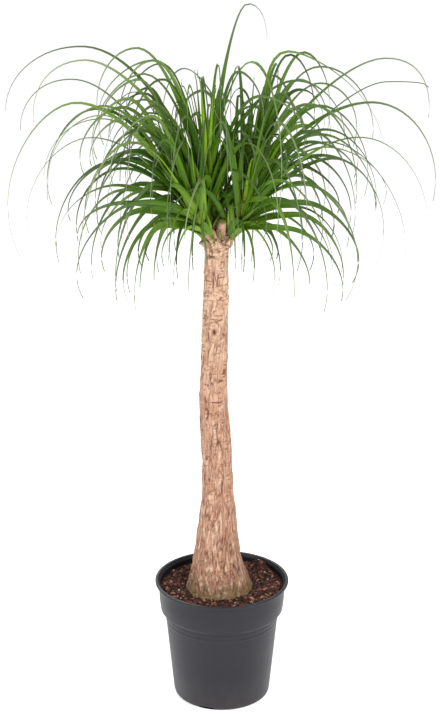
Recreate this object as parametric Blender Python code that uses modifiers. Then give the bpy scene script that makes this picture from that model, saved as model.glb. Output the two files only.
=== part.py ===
"""A ponytail palm in its nursery pot.

The origin is the middle of the pot's base, on the surface that it stands on. Metres, +Z up. A heading is
counted in degrees from +X, anticlockwise as seen from above; a rise is an angle above the horizontal.
"""

from collections import namedtuple
from math import atan2, cos, degrees, hypot, pi, radians, sin
from random import Random

import bmesh
import bpy
from mathutils import Matrix, Vector
from mathutils.bvhtree import BVHTree

GAP = 0.0003  # between neighbours that touch

# The pot, from its floor up: (radius, height) of the inside, then over the lip and down the outside.
POT_STEPS = 56
POT_INSIDE = (
    (0.0, 0.0030), (0.0800, 0.0030), (0.0845, 0.0058), (0.0863, 0.0105), (0.1000, 0.1480),
    (0.1006, 0.1560), (0.1022, 0.1632), (0.1082, 0.1658), (0.1092, 0.1682), (0.1118, 0.1910),
    (0.1122, 0.2190), (0.1140, 0.2206), (0.1150, 0.2228),
)
POT_LIP = ((0.1164, 0.2240), (0.1194, 0.2240), (0.1210, 0.2227), (0.1210, 0.2204), (0.1198, 0.2190))
POT_OUTSIDE = (
    (0.1143, 0.2184), (0.1138, 0.1900), (0.1112, 0.1688), (0.1104, 0.1670), (0.1045, 0.1646),
    (0.1028, 0.1600), (0.1032, 0.1562), (0.1022, 0.1540), (0.1021, 0.1492), (0.1024, 0.1470),
    (0.1014, 0.1448), (0.0881, 0.0090), (0.0868, 0.0036), (0.0836, 0.0006), (0.0818, 0.0), (0.0, 0.0),
)
# The slots through the corner of the pot's floor and wall
DRAIN_SLOTS = 3
DRAIN_HEADING = 251
DRAIN_WIDTH = 0.028
DRAIN_INNER = 0.077
DRAIN_LENGTH = 0.020
DRAIN_LOW = 0.0012
DRAIN_HIGH = 0.0062

# The soil's level, from the pot's wall in to the trunk
SOIL_TOP = ((0.1116, 0.2110), (0.1020, 0.2108), (0.0840, 0.2102), (0.0700, 0.2098), (0.0, 0.2098))

# The trunk: (height, how far the middle lies along X, radius), from the rounded root crown in the soil
# to the knobbly head that the shoots grow from.
TRUNK = (
    (0.128, -0.005, 0.0450), (0.142, -0.005, 0.0590), (0.160, -0.005, 0.0665), (0.182, -0.005, 0.0665),
    (0.200, -0.005, 0.0625), (0.215, -0.005, 0.0565), (0.232, -0.006, 0.0515), (0.255, -0.008, 0.0450),
    (0.285, -0.009, 0.0395), (0.320, -0.008, 0.0358), (0.353, -0.007, 0.0325), (0.395, -0.007, 0.0280),
    (0.440, -0.008, 0.0268), (0.490, -0.010, 0.0265), (0.530, -0.013, 0.0262), (0.560, -0.0146, 0.0252),
    (0.595, -0.0145, 0.0238), (0.630, -0.0137, 0.0230), (0.690, -0.012, 0.0228), (0.730, -0.011, 0.0220),
    (0.770, -0.010, 0.0214), (0.810, -0.010, 0.0210), (0.843, -0.009, 0.0208), (0.851, -0.008, 0.0240),
    (0.860, -0.007, 0.0272), (0.868, -0.006, 0.0266), (0.874, -0.005, 0.0215), (0.878, -0.005, 0.0120),
)
TRUNK_SIDES = 24
STEM_SIDES = 12

# Each shoot: where it leaves the trunk's head, which way and how far it leans from upright, its height,
# its radius at the foot, the share of it that is bare of leaves, how many leaves it carries, and where the
# spiral of its leaves starts.
Shoot = namedtuple("Shoot", "foot heading lean height radius bare leaves turn")
SHOOTS = {
    "centre": Shoot((-0.013, -0.002, 0.872), 190, 8, 0.105, 0.0125, 0.20, 36, 0),
    "left": Shoot((-0.021, -0.010, 0.866), 190, 33, 0.102, 0.0115, 0.10, 33, 40),
    "right": Shoot((0.008, -0.010, 0.866), 345, 40, 0.074, 0.0110, 0.14, 30, 90),
    "front": Shoot((-0.012, -0.018, 0.864), 222, 42, 0.080, 0.0100, 0.30, 22, 150),
    "back": Shoot((0.005, 0.015, 0.868), 32, 30, 0.130, 0.0125, 0.12, 35, 210),
}
# The short stump of a shoot that was cut off at the front of the head
STUMP = Shoot((-0.003, -0.014, 0.866), 282, 28, 0.042, 0.0105, 1, 0, 0)
SHOOT_TAPER = 0.5  # share of its radius that a shoot loses by its top
SHOOT_ROOT = 0.020  # how deep a shoot's foot reaches into the trunk's head
BUD_LENGTH = 0.070

# Each leaf: its shoot, how far up the shoot it is seated, the crest where it tops out, its tip, how far the
# tip curls back in, and its width.
Leaf = namedtuple("Leaf", "name shoot share crest tip curl width")
LONG_LEAVES = (
    ("centre", 0.97, (0.042, 0.020, 1.255), (0.075, 0.035, 1.195), 0.00, 0.0170),
    ("centre", 0.86, (-0.232, 0.040, 1.182), (-0.368, 0.060, 1.070), 0.00, 0.0130),
    ("centre", 0.90, (-0.140, -0.030, 1.190), (-0.205, -0.050, 1.100), 0.00, 0.0160),
    ("left", 0.84, (-0.250, 0.080, 1.120), (-0.350, 0.110, 1.027), 0.00, 0.0120),
    ("left", 0.70, (-0.240, -0.060, 1.105), (-0.335, -0.085, 0.850), 0.45, 0.0130),
    ("centre", 0.92, (-0.112, 0.060, 1.155), (-0.215, 0.120, 1.040), 0.10, 0.0150),
    ("centre", 0.80, (-0.225, -0.060, 1.175), (-0.305, -0.090, 1.078), 0.10, 0.0130),
    ("left", 0.60, (-0.218, 0.030, 1.030), (-0.330, 0.050, 0.832), 0.35, 0.0130),
    ("left", 0.76, (-0.200, -0.090, 1.090), (-0.280, -0.130, 0.980), 0.10, 0.0120),
    ("left", 0.48, (-0.185, -0.100, 1.015), (-0.265, -0.150, 0.860), 0.30, 0.0120),
    ("left", 0.36, (-0.175, 0.040, 0.945), (-0.287, 0.070, 0.815), 0.25, 0.0120),
    ("left", 0.30, (-0.165, -0.070, 0.962), (-0.235, -0.100, 0.828), 0.20, 0.0125),
    ("left", 0.22, (-0.108, -0.070, 0.975), (-0.175, -0.115, 0.802), 0.10, 0.0150),
    ("left", 0.16, (-0.095, -0.050, 0.945), (-0.176, -0.090, 0.778), 0.15, 0.0140),
    ("front", 0.50, (-0.097, -0.075, 0.920), (-0.132, -0.100, 0.838), 0.60, 0.0130),
    ("front", 0.30, (-0.055, -0.060, 0.895), (-0.080, -0.090, 0.785), 0.20, 0.0120),
    ("centre", 0.55, (-0.027, -0.085, 0.985), (-0.056, -0.140, 0.785), 0.00, 0.0150),
    ("centre", 0.85, (0.000, -0.100, 1.050), (0.027, -0.200, 0.855), 0.10, 0.0150),
    ("centre", 0.94, (0.051, -0.050, 1.170), (0.092, -0.170, 0.960), 0.30, 0.0150),
    ("back", 0.90, (0.110, 0.050, 1.172), (0.280, 0.120, 0.985), 0.10, 0.0140),
    ("centre", 0.88, (0.123, -0.040, 1.138), (0.198, -0.070, 1.030), 0.25, 0.0165),
    ("back", 0.84, (0.165, 0.120, 1.135), (0.270, 0.200, 0.995), 0.15, 0.0130),
    ("back", 0.78, (0.275, 0.080, 1.156), (0.358, 0.110, 1.050), 0.10, 0.0120),
    ("right", 0.84, (0.275, 0.010, 1.128), (0.345, 0.015, 1.118), 0.00, 0.0120),
    ("back", 0.70, (0.250, 0.030, 1.090), (0.364, 0.050, 0.915), 0.20, 0.0120),
    ("right", 0.70, (0.230, -0.070, 1.050), (0.335, -0.100, 0.880), 0.20, 0.0130),
    ("right", 0.62, (0.180, -0.110, 1.050), (0.290, -0.170, 0.842), 0.30, 0.0130),
    ("right", 0.54, (0.187, 0.050, 0.990), (0.272, 0.070, 0.795), 0.40, 0.0130),
    ("right", 0.42, (0.138, -0.050, 0.970), (0.208, -0.080, 0.775), 0.60, 0.0140),
    ("right", 0.46, (0.100, -0.060, 0.975), (0.185, -0.110, 0.795), 0.15, 0.0150),
    ("right", 0.32, (0.104, -0.030, 0.930), (0.187, -0.050, 0.797), 0.10, 0.0160),
    ("right", 0.20, (0.074, -0.040, 0.895), (0.147, -0.080, 0.804), 0.00, 0.0130),
    ("right", 0.12, (0.038, -0.040, 0.888), (0.052, -0.060, 0.800), 0.30, 0.0120),
    ("centre", 0.78, (-0.060, -0.160, 1.100), (-0.080, -0.260, 0.940), 0.20, 0.0140),
    ("back", 0.60, (0.060, 0.220, 1.050), (0.090, 0.330, 0.860), 0.20, 0.0130),
    ("back", 0.74, (-0.060, 0.190, 1.120), (-0.110, 0.300, 0.960), 0.20, 0.0130),
)
GOLDEN_ANGLE = 137.508  # between each leaf of a shoot and the next one up
CROWN_RADIUS = 0.365
CROWN_FLOOR = 0.765
LEAF_THICKNESS = 0.0009
LEAF_TIP_WIDTH = 0.0017
LEAF_NECK = 0.4  # share of its width that a solid leaf has where it leaves its shoot
LEAF_STEPS = 14
SOLID_LEAVES = 44  # leaves that are solids here; the others only fill the crown between them


# Plain shapes

def closed_material(name, colour, roughness):
    material = bpy.data.materials.new(name)
    material.use_nodes = True
    shader = material.node_tree.nodes["Principled BSDF"]
    shader.inputs["Base Color"].default_value = (*colour, 1)
    shader.inputs["Roughness"].default_value = roughness
    shader.inputs["Metallic"].default_value = 0
    return material


def add_object(name, data, collection, material=None):
    obj = bpy.data.objects.new(name, data)
    collection.objects.link(obj)
    if material:
        data.materials.append(material)
    return obj


def as_cutter(obj):
    obj.hide_render = True
    obj.display_type = "WIRE"
    return obj


def turned(name, profile, steps, collection, material=None):
    """A profile in (radius, height), which runs down its outer side, turned about the Z axis."""
    points = [(radius, 0, height) for radius, height in profile]
    mesh = bpy.data.meshes.new(name)
    mesh.from_pydata(points, [(k, k + 1) for k in range(len(points) - 1)], [])
    obj = add_object(name, mesh, collection, material)
    screw = obj.modifiers.new("turn", "SCREW")
    screw.steps = screw.render_steps = steps
    screw.use_merge_vertices = True
    screw.merge_threshold = 0.00001
    return obj


def tube(name, points, radii, sides, collection):
    """A tube with flat ends along points, as a closed mesh."""
    curve = bpy.data.curves.new(name, "CURVE")
    curve.dimensions = "3D"
    curve.bevel_depth = 1
    curve.bevel_resolution = (sides - 4) // 2
    curve.use_fill_caps = True
    spline = curve.splines.new("POLY")
    spline.points.add(len(points) - 1)
    for target, point, radius in zip(spline.points, points, radii):
        target.co = (*point, 1)
        target.radius = radius
    guide = add_object(name + "_line", curve, collection)
    depsgraph = bpy.context.evaluated_depsgraph_get()
    mesh = bpy.data.meshes.new_from_object(guide.evaluated_get(depsgraph))
    mesh.name = name
    bpy.data.objects.remove(guide)
    work = bmesh.new()
    work.from_mesh(mesh)
    bmesh.ops.remove_doubles(work, verts=work.verts, dist=0.00001)
    bmesh.ops.recalc_face_normals(work, faces=work.faces)
    work.to_mesh(mesh)
    work.free()
    return add_object(name, mesh, collection)


def combine(obj, other, operation):
    boolean = obj.modifiers.new(other.name, "BOOLEAN")
    boolean.operation = operation
    boolean.object = other
    boolean.solver = "EXACT"


def smooth(obj, angle=35):
    obj.data.shade_smooth()
    obj.data.set_sharp_from_angle(angle=radians(angle))


# The pot and the soil

def build_pot(parts, cutters):
    material = closed_material("pot_plastic", (0.045, 0.045, 0.052), 0.45)
    pot = turned("pot", POT_INSIDE + POT_LIP + POT_OUTSIDE, POT_STEPS, parts, material)
    slots = bmesh.new()
    for k in range(DRAIN_SLOTS):
        turn = Matrix.Rotation(radians(DRAIN_HEADING) + 2 * pi * k / DRAIN_SLOTS, 4, "Z")
        place = Matrix.Translation((DRAIN_INNER + DRAIN_LENGTH / 2, 0, (DRAIN_LOW + DRAIN_HIGH) / 2))
        size = Matrix.Diagonal((DRAIN_LENGTH, DRAIN_WIDTH, DRAIN_HIGH - DRAIN_LOW, 1))
        bmesh.ops.create_cube(slots, size=1, matrix=turn @ place @ size)
    mesh = bpy.data.meshes.new("drain_slots")
    slots.to_mesh(mesh)
    slots.free()
    combine(pot, as_cutter(add_object("drain_slots", mesh, cutters)), "DIFFERENCE")
    smooth(pot)


def build_soil(parts, cutters):
    """The soil fills the pot to its level, with a hollow that the trunk's root crown lies in."""
    material = closed_material("soil", (0.095, 0.045, 0.028), 0.95)
    below = [(max(0, radius - GAP), height + GAP) for radius, height in POT_INSIDE[:10]]
    profile = list(reversed(SOIL_TOP))
    profile += list(reversed(below))
    soil = turned("soil", profile, POT_STEPS, parts, material)
    root = trunk_tube("root_hollow", 2 * GAP, cutters)
    combine(soil, as_cutter(root), "DIFFERENCE")


# The trunk

def trunk_tube(name, grow, collection):
    """The trunk as one tube; grow is added to its radius and to its lower end."""
    points = [Vector((x, 0, height)) for height, x, _ in TRUNK]
    points[0].z -= grow
    radii = [radius + grow for _, _, radius in TRUNK]
    return tube(name, points, radii, TRUNK_SIDES, collection)


def build_trunk(parts, cutters):
    """The trunk and the bare stems of its shoots, which grew as one piece."""
    trunk = trunk_tube("trunk", 0, parts)
    trunk.data.materials.append(closed_material("bark", (0.56, 0.36, 0.23), 0.85))
    for k, shoot in enumerate([*SHOOTS.values(), STUMP]):
        foot = Vector(shoot.foot)
        axis = axis_of(shoot)
        rings = (-SHOOT_ROOT / shoot.height, 0.0, 0.25, 0.5, 0.75, 1.0)
        points = [foot + axis * shoot.height * share for share in rings]
        radii = [stem_radius(shoot, max(0, share)) for share in rings]
        stem = tube("stem_%d" % k, points, radii, STEM_SIDES, cutters)
        combine(trunk, as_cutter(stem), "UNION")
    return trunk


def build_bud(name, shoot, parts):
    """The furled youngest leaves at a shoot's tip."""
    start = Vector(shoot.foot) + axis_of(shoot) * (shoot.height + GAP)
    upward = (axis_of(shoot) + Vector((0, 0, 1.2))).normalized()
    wide = stem_radius(shoot, 1) * 0.80
    rings = ((0.0, 0.9), (0.1, 1.0), (0.4, 0.75), (0.75, 0.35), (1.0, 0.08))
    points = [start + (axis_of(shoot).lerp(upward, share)) * BUD_LENGTH * share for share, _ in rings]
    bud = tube("bud_" + name, points, [wide * thick for _, thick in rings], 8, parts)
    bud.data.materials.append(closed_material("bud_" + name, (0.20, 0.42, 0.05), 0.4))
    return bud


# The leaves

def axis_of(shoot):
    return direction(shoot.heading, 90 - shoot.lean)


def stem_radius(shoot, share):
    return shoot.radius * (1 - SHOOT_TAPER * share)


def direction(heading, rise):
    across = cos(radians(rise))
    return Vector((across * cos(radians(heading)), across * sin(radians(heading)), sin(radians(rise))))


def seat(leaf):
    """A leaf starts on its shoot's surface, on the side that its crest is on."""
    shoot = SHOOTS[leaf.shoot]
    axis = axis_of(shoot)
    middle = Vector(shoot.foot) + axis * shoot.height * leaf.share
    outward = (Vector(leaf.crest) - middle) * Vector((1, 1, 0.2))
    outward = (outward - axis * outward.dot(axis)).normalized()
    return middle + outward * (stem_radius(shoot, leaf.share) + GAP + LEAF_THICKNESS / 2)


def bezier(a, b, c, d, t):
    return a * (1 - t) ** 3 + b * 3 * t * (1 - t) ** 2 + c * 3 * t ** 2 * (1 - t) + d * t ** 3


def midrib(leaf, steps):
    """Evenly spaced points along the leaf: a rise to the crest, then a fall to the tip."""
    start, crest, tip = seat(leaf), Vector(leaf.crest), Vector(leaf.tip)
    climb, fall = crest - start, tip - crest
    level, onward = Vector((climb.x, climb.y, 0)), Vector((fall.x, fall.y, 0))
    glide = (level.normalized() + onward.normalized()).normalized()
    glide = glide * 0.48 * (level.length * onward.length) ** 0.5
    sprung = start + level * 0.22 + Vector((0, 0, climb.z)) * 0.50
    curled = tip + Vector((0, 0, -fall.z)) * 0.5 + onward.normalized() * leaf.curl * -fall.z * 0.5
    fine = 40
    points = [bezier(start, sprung, crest - glide, crest, k / fine) for k in range(fine)]
    points += [bezier(crest, crest + glide, curled, tip, k / fine) for k in range(fine + 1)]
    lengths = [0.0]
    for first, second in zip(points, points[1:]):
        lengths.append(lengths[-1] + (second - first).length)
    even = []
    k = 0
    for j in range(steps + 1):
        wanted = lengths[-1] * j / steps
        while k < len(points) - 2 and lengths[k + 1] < wanted:
            k += 1
        share = (wanted - lengths[k]) / (lengths[k + 1] - lengths[k])
        even.append(points[k] + (points[k + 1] - points[k]) * share)
    return even


def fits_crown(leaf):
    """The crown's underside is lowest round the trunk."""
    for point in midrib(leaf, LEAF_STEPS):
        away = point.xy.length
        if away > CROWN_RADIUS or point.z < CROWN_FLOOR + 0.4 * max(0, away - 0.2):
            return False
    return True


def leaf_plan():
    """Every leaf of the crown: the long ones that give its outline, then each shoot's own spiral."""
    leaves = [Leaf("leaf_long_%02d" % k, *values) for k, values in enumerate(LONG_LEAVES)]
    chance = Random(11)
    up = Vector((0, 0, 1))
    for name, shoot in SHOOTS.items():
        axis = axis_of(shoot)
        outer = direction(shoot.heading, -shoot.lean)
        across = axis.cross(outer)
        for k in range(shoot.leaves):
            young = k / (shoot.leaves - 1)
            share = shoot.bare + (0.96 - shoot.bare) * young
            turn = radians(shoot.turn + k * GOLDEN_ANGLE)
            climb = radians(4 + 78 * young ** 0.85 + chance.uniform(-6, 6))
            aim = cos(climb) * (cos(turn) * outer + sin(turn) * across) + sin(climb) * axis
            heading = degrees(atan2(aim.y, aim.x)) % 360
            lift, sag, level = max(0.0, aim.z), max(0.0, -aim.z), hypot(aim.x, aim.y)
            size = chance.uniform(0.20, 0.33) + 0.06 * young + 0.06 * (chance.random() < 0.3)
            out = direction(heading, 0)
            falls = direction(heading + chance.uniform(-30, 30), 0)
            hang = chance.uniform(0.22, 0.46) + 0.40 * sag + 0.25 * max(0, 1 - 3 * young)
            curl = chance.uniform(-0.1, 0.6)
            width = chance.uniform(0.0130, 0.0165)
            foot = Vector(shoot.foot) + axis * shoot.height * share
            crest = out * (0.15 + 0.25 * level - 0.22 * sag) + up * (0.05 + 0.52 * lift)
            tip = crest + falls * (0.09 + 0.20 * level) - up * hang
            leaf = Leaf("leaf_%s_%02d" % (name, k), name, share, foot + crest * size, foot + tip * size,
                        curl, width)
            while not fits_crown(leaf):
                size *= 0.94
                leaf = leaf._replace(crest=foot + crest * size, tip=foot + tip * size)
            bare_front = young < 0.4 and abs(heading - 270) < 40
            if not bare_front:
                leaves.append(leaf)
    return leaves


def blade_width(leaf, s):
    """A clasping base, a blade that is widest a tenth of the way up and a long thin tip."""
    taper = 0.5 + 0.5 * cos(pi * s ** 0.64)
    return LEAF_TIP_WIDTH + (leaf.width - LEAF_TIP_WIDTH) * min(1, 0.75 + 2.5 * s) * taper


def leaf_solid(leaf, collection, material):
    """A ribbon along the midrib, made a thin solid."""
    curve = bpy.data.curves.new(leaf.name, "CURVE")
    curve.dimensions = "3D"
    curve.twist_mode = "Z_UP"
    curve.extrude = 1
    line = midrib(leaf, LEAF_STEPS)
    spline = curve.splines.new("POLY")
    spline.points.add(LEAF_STEPS)
    for k, point in enumerate(line):
        spline.points[k].co = (*point, 1)
        neck = min(1, LEAF_NECK + 5 * k / LEAF_STEPS)
        spline.points[k].radius = neck * blade_width(leaf, k / LEAF_STEPS) / 2
        # Where the tip curls back in, the curve's own frame turns over, and the tilt turns it back.
        run = line[min(LEAF_STEPS, k + 1)] - line[max(0, k - 1)]
        turned_back = run.xy.dot((line[1] - line[0]).xy) < 0
        spline.points[k].tilt = -pi / 2 if turned_back else pi / 2
    blade = add_object(leaf.name, curve, collection, material)
    solidify = blade.modifiers.new("blade", "SOLIDIFY")
    solidify.offset = 0
    solidify.thickness = LEAF_THICKNESS
    return blade


def surface_of(obj):
    bpy.context.view_layer.update()
    return BVHTree.FromObject(obj, bpy.context.evaluated_depsgraph_get())


def reach(leaf):
    return max(point.xy.length for point in midrib(leaf, LEAF_STEPS))


def build_leaves(parts, neighbours):
    """Takes the planned leaves in turn, and keeps each one that clears all that is there already."""
    placed = [surface_of(obj) for obj in neighbours]
    plan = leaf_plan()
    long_ones, others = plan[:len(LONG_LEAVES)], plan[len(LONG_LEAVES):]
    kept = 0
    for leaf in long_ones + sorted(others, key=reach, reverse=True):
        if kept == SOLID_LEAVES:
            break
        material = closed_material(leaf.name, (0.055, 0.16, 0.03), 0.42)
        blade = leaf_solid(leaf, parts, material)
        blade.modifiers["blade"].thickness = LEAF_THICKNESS + 2 * GAP
        wide = surface_of(blade)
        if any(wide.overlap(other) for other in placed):
            bpy.data.objects.remove(blade)
            continue
        blade.modifiers["blade"].thickness = LEAF_THICKNESS
        placed.append(surface_of(blade))
        kept += 1


def build():
    for obj in list(bpy.data.objects):
        bpy.data.objects.remove(obj)
    parts = bpy.data.collections.new("ponytail_palm")
    cutters = bpy.data.collections.new("cutters")
    bpy.context.scene.collection.children.link(parts)
    bpy.context.scene.collection.children.link(cutters)
    build_pot(parts, cutters)
    build_soil(parts, cutters)
    trunk = build_trunk(parts, cutters)
    buds = [build_bud(name, shoot, parts) for name, shoot in SHOOTS.items()]
    build_leaves(parts, [trunk] + buds)


build()
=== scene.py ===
from collections import namedtuple
from math import atan2, cos, degrees, exp, hypot, pi, radians, sin, tau
from random import Random

import bmesh
import bpy
from mathutils import Matrix, Vector, noise


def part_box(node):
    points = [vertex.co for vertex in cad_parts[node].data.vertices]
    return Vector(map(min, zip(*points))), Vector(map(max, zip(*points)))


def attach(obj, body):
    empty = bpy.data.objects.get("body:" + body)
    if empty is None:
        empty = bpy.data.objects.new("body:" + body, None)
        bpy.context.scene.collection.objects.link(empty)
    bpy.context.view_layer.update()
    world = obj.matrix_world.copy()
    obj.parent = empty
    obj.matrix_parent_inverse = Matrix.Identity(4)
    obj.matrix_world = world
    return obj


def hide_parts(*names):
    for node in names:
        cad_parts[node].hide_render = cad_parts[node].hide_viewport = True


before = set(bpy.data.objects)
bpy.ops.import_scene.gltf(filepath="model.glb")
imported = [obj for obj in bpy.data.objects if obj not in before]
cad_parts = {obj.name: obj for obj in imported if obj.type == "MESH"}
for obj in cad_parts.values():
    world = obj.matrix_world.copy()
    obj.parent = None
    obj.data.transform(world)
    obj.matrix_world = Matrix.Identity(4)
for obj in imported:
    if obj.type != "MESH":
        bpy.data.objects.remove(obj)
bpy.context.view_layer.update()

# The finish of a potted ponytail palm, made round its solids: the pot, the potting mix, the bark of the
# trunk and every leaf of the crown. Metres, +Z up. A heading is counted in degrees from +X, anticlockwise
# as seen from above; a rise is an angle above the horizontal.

POT_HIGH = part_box("pot")[1]
RIM = POT_HIGH.z
LIP = POT_HIGH.x
SOIL_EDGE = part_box("soil")[1].x
GAP = 0.0003  # between a leaf's foot and its shoot


# Plain sums

def clamped(value):
    """A value kept between 0 and 1."""
    return min(1.0, max(0.0, value))


def grain(x, y, z):
    """Smooth noise, from -1 to 1, at a place."""
    return noise.noise(Vector((x, y, z)))


def key_of(point):
    """A point as a key that finds what was noted for it."""
    return tuple(round(value, 6) for value in point)


# Materials

def tone(red, green, blue):
    """A colour given as on a paint chart, 0 to 255, made linear."""
    def linear(value):
        share = value / 255
        return share / 12.92 if share < 0.04045 else ((share + 0.055) / 1.055) ** 2.4
    return (linear(red), linear(green), linear(blue), 1)


def new_finish(name, roughness, colour=(0.5, 0.5, 0.5, 1), specular=0.5):
    finish = bpy.data.materials.new(name)
    finish.use_nodes = True
    shader = finish.node_tree.nodes["Principled BSDF"]
    shader.inputs["Roughness"].default_value = roughness
    shader.inputs["Base Color"].default_value = colour
    shader.inputs["Specular IOR Level"].default_value = specular
    return finish, finish.node_tree, shader


def add(tree, kind, inputs=None, **settings):
    """A node; each input is a value or the socket that feeds it."""
    node = tree.nodes.new("ShaderNode" + kind)
    for name, value in settings.items():
        setattr(node, name, value)
    for name, value in (inputs or {}).items():
        if isinstance(value, bpy.types.NodeSocket):
            tree.links.new(value, node.inputs[name])
        else:
            node.inputs[name].default_value = value
    return node


def ramp(tree, value, *stops):
    """A colour that runs through stops of (place, colour)."""
    node = add(tree, "ValToRGB", {"Fac": value})
    band = node.color_ramp.elements
    while len(band) < len(stops):
        band.new(0.5)
    for element, (place, colour) in zip(band, stops):
        element.position = place
        element.color = colour
    return node.outputs["Color"]


def plus(tree, first, second):
    return add(tree, "Math", {0: first, 1: second}, operation="ADD").outputs[0]


def times(tree, first, second):
    return add(tree, "Math", {0: first, 1: second}, operation="MULTIPLY").outputs[0]


def spread(tree, value, low, high, new_low=0.0, new_high=1.0):
    """A value's stretch from low to high, brought to a new stretch."""
    inputs = {"Value": value, "From Min": low, "From Max": high, "To Min": new_low, "To Max": new_high}
    return add(tree, "MapRange", inputs).outputs["Result"]


def blend(tree, share, first, second):
    """The first colour, giving way to the second as the share grows."""
    return add(tree, "Mix", {0: share, 6: first, 7: second}, data_type="RGBA").outputs[2]


def cloud(tree, vector, scale, detail=4, roughness=0.55):
    inputs = {"Vector": vector, "Scale": scale, "Detail": detail, "Roughness": roughness}
    return add(tree, "TexNoise", inputs).outputs["Fac"]


def stretched(tree, vector, x, y, z):
    return add(tree, "Mapping", {"Vector": vector, "Scale": (x, y, z)}).outputs["Vector"]


def place_on(tree):
    return add(tree, "TexCoord").outputs["Object"]


def mark(tree, name):
    """A value that the piece's points carry."""
    return add(tree, "Attribute", attribute_name=name).outputs["Fac"]


def paint(tree, shader, colour):
    tree.links.new(colour, shader.inputs["Base Color"])


def bump(tree, shader, height, distance, strength):
    inputs = {"Height": height, "Distance": distance, "Strength": strength}
    tree.links.new(add(tree, "Bump", inputs).outputs["Normal"], shader.inputs["Normal"])


def pot_plastic():
    """Satin anthracite plastic with a fine moulded grain and a little dried soil low down."""
    finish, tree, shader = new_finish("pot_plastic", 0.42, specular=0.32)
    place = place_on(tree)
    moulding = cloud(tree, place, 900, 2)
    cloudy = cloud(tree, stretched(tree, place, 1, 1, 0.35), 24, 3)
    body = ramp(tree, cloudy, (0.3, tone(30, 29, 36)), (0.7, tone(36, 35, 42)))
    height = add(tree, "SeparateXYZ", {"Vector": place}).outputs["Z"]
    dusty = times(tree, spread(tree, height, 0.07, 0.0), cloud(tree, place, 60, 5))
    colour = blend(tree, times(tree, dusty, 0.30), body, tone(96, 88, 80))
    paint(tree, shader, colour)
    tree.links.new(spread(tree, cloudy, 0.2, 0.8, 0.36, 0.50), shader.inputs["Roughness"])
    bump(tree, shader, moulding, 0.0002, 0.35)
    return finish


def bark():
    """Dry tan bark. The mark crack is 1 in a crack and 0 on the open bark, streak is the pale flaking and
    fresh the green of a young stem."""
    finish, tree, shader = new_finish("bark", 0.82, specular=0.25)
    place = place_on(tree)
    crack = mark(tree, "crack")
    streak = mark(tree, "streak")
    height = add(tree, "SeparateXYZ", {"Vector": place}).outputs["Z"]
    up = spread(tree, height, 0.2, 0.75)
    open_bark = ramp(tree, up, (0.0, tone(150, 108, 82)), (0.35, tone(176, 134, 108)),
                     (0.75, tone(196, 156, 130)), (1.0, tone(226, 190, 162)))
    patches = cloud(tree, stretched(tree, place, 1, 1, 0.35), 70, 5, 0.6)
    mottled = blend(tree, spread(tree, patches, 0.35, 0.75, 0.0, 0.8), open_bark, tone(180, 128, 100))
    fibres = cloud(tree, stretched(tree, place, 1, 1, 0.12), 420, 4, 0.65)
    lit = blend(tree, spread(tree, fibres, 0.45, 0.75, 0.0, 0.55), mottled, tone(240, 205, 178))
    fresh = mark(tree, "fresh")
    sheathed = blend(tree, fresh, lit, tone(104, 122, 44))
    flaked = blend(tree, times(tree, streak, 0.8), sheathed, tone(243, 212, 184))
    specks = spread(tree, cloud(tree, place, 330, 3, 0.7), 0.55, 0.75, 0.0, 0.35)
    dusky = blend(tree, specks, flaked, tone(128, 84, 64))
    cracked = blend(tree, crack, dusky, tone(92, 52, 38))
    moss_edge = plus(tree, height, times(tree, cloud(tree, place, 40, 5), 0.060))
    moss = spread(tree, moss_edge, 0.266, 0.234, 0.0, 0.75)
    colour = blend(tree, moss, cracked, tone(96, 88, 42))
    paint(tree, shader, colour)
    rough_bark = plus(tree, fibres, times(tree, patches, 0.6))
    bump(tree, shader, rough_bark, 0.0012, 0.55)
    return finish


def potting_mix():
    """Dark crumbly mix, redder where it is open, and darkened towards a dark olive round the trunk: moss
    there, and painted shade where the trunk's foot meets the mix.
    """
    finish, tree, shader = new_finish("potting_mix", 0.95, specular=0.2)
    place = place_on(tree)
    grains = cloud(tree, place, 260, 6, 0.7)
    colour = ramp(tree, grains, (0.32, tone(24, 17, 16)), (0.5, tone(60, 40, 34)), (0.68, tone(94, 62, 52)))
    flat = add(tree, "VectorMath", {0: place, 1: (1, 1, 0)}, operation="MULTIPLY").outputs["Vector"]
    away = add(tree, "VectorMath", {0: flat}, operation="LENGTH").outputs["Value"]
    # Round the trunk's foot the mix is blended towards a dark olive. This is partly moss and partly painted
    # shade.
    near = spread(tree, away, 0.092, 0.062)
    moss_and_shade_mask = times(tree, near, spread(tree, cloud(tree, place, 45, 4), 0.4, 0.65))
    moss_and_shade_colour = blend(tree, times(tree, moss_and_shade_mask, 0.6), colour, tone(44, 44, 30))
    paint(tree, shader, moss_and_shade_colour)
    bump(tree, shader, grains, 0.0012, 0.8)
    return finish


def chip_bark(name, *stops):
    """Chips that each have a colour of their own, by the mark shade."""
    finish, tree, shader = new_finish(name, 0.85, specular=0.3)
    place = place_on(tree)
    shade = mark(tree, "shade")
    own = ramp(tree, shade, *stops)
    fibres = cloud(tree, place, 700, 4, 0.7)
    colour = blend(tree, spread(tree, fibres, 0.4, 0.75, 0.0, 0.5), own, tone(40, 26, 21))
    paint(tree, shader, colour)
    return finish


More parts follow.
